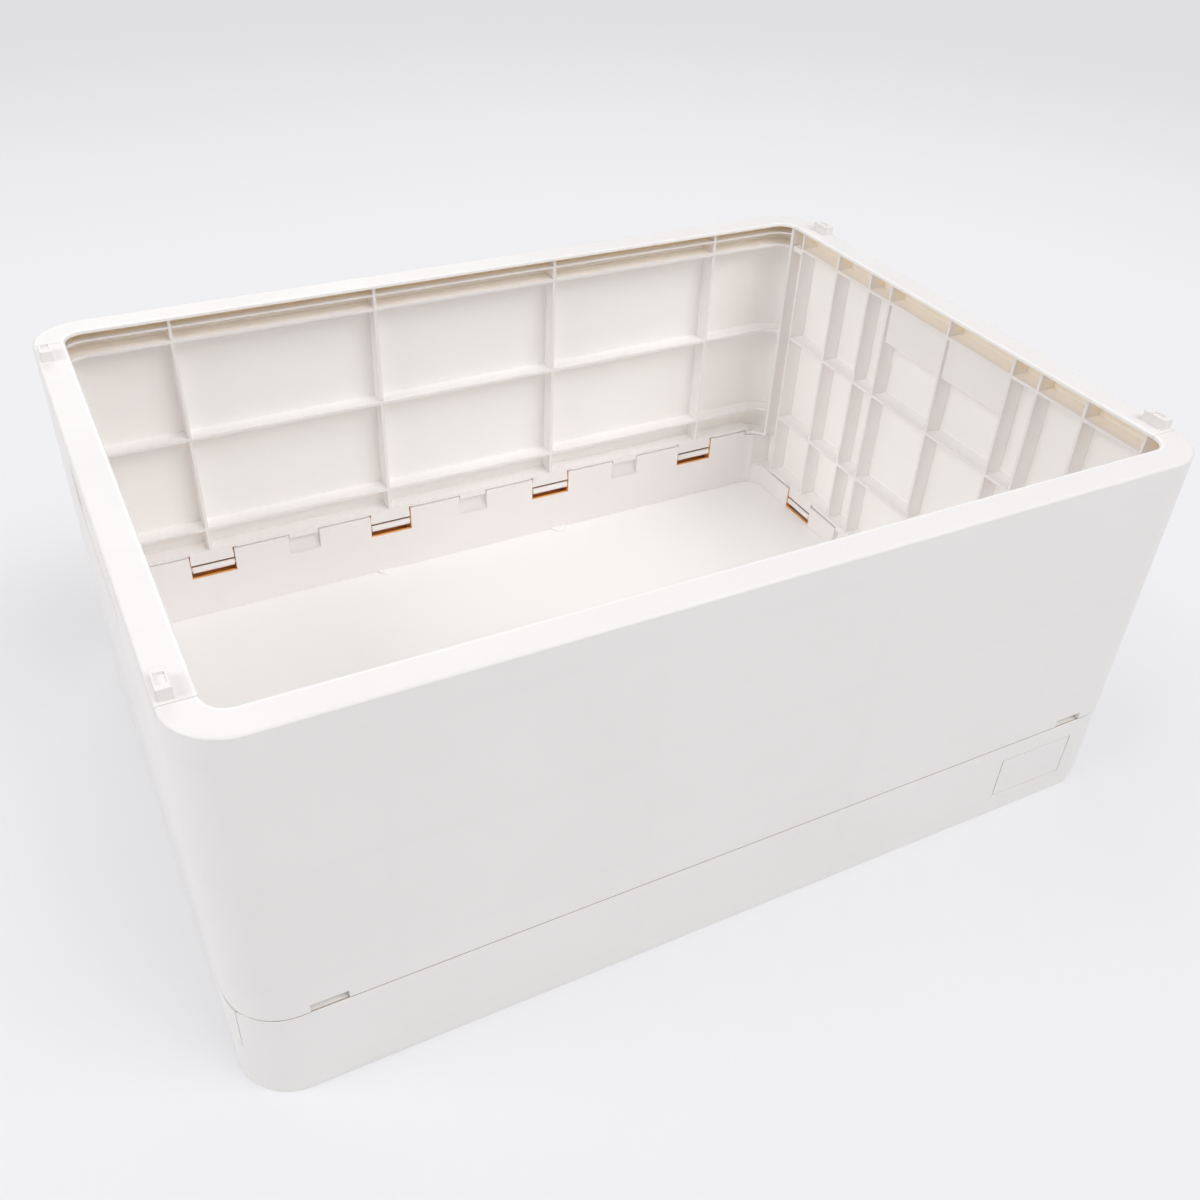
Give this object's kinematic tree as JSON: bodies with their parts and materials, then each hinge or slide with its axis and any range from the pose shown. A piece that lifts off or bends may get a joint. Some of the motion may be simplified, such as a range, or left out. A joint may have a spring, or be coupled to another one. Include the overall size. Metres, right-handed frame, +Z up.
{
  "type": "folding storage crate",
  "caption": "Rectangular plastic crate for papers and cards: a double-skinned tray base with four ribbed, hinged walls that fold flat into it.",
  "frame": {"origin": "middle of the tray's underside, on the surface that the crate stands on", "axes": "+X along the length, to the right as seen from the front; -Y is the front long side, which carries the bare label frame; +Z up"},
  "size_m": [0.53, 0.384, 0.2345],
  "materials": {
    "shell_plastic": "satin moulded polypropylene",
    "pin_plastic": "smooth extruded rod"
  },
  "bodies": {
    "tray": {"base_tray": "shell_plastic", "front_hinge_pins": "pin_plastic", "back_hinge_pins": "pin_plastic", "left_hinge_pins": "pin_plastic", "right_hinge_pins": "pin_plastic"},
    "front_side": {"front_wall": "shell_plastic"},
    "back_side": {"back_wall": "shell_plastic"},
    "left_end": {"left_end_wall": "shell_plastic"},
    "right_end": {"right_end_wall": "shell_plastic"}
  },
  "joints": [
    {"name": "left_end_fold", "type": "hinge", "parent": "tray", "child": "left_end", "pos_m": [-0.254, 0, 0.018], "axis": [0, 1, 0], "range_deg": [0, 90]},
    {"name": "right_end_fold", "type": "hinge", "parent": "tray", "child": "right_end", "pos_m": [0.254, 0, 0.018], "axis": [0, -1, 0], "range_deg": [0, 90]},
    {"name": "front_wall_fold", "type": "hinge", "parent": "tray", "child": "front_side", "pos_m": [0, -0.181, 0.0485], "axis": [-1, 0, 0], "range_deg": [-1.5, 0]},
    {"name": "back_wall_fold", "type": "hinge", "parent": "tray", "child": "back_side", "pos_m": [0, 0.181, 0.0485], "axis": [1, 0, 0], "range_deg": [-1.5, 0]}
  ]
}
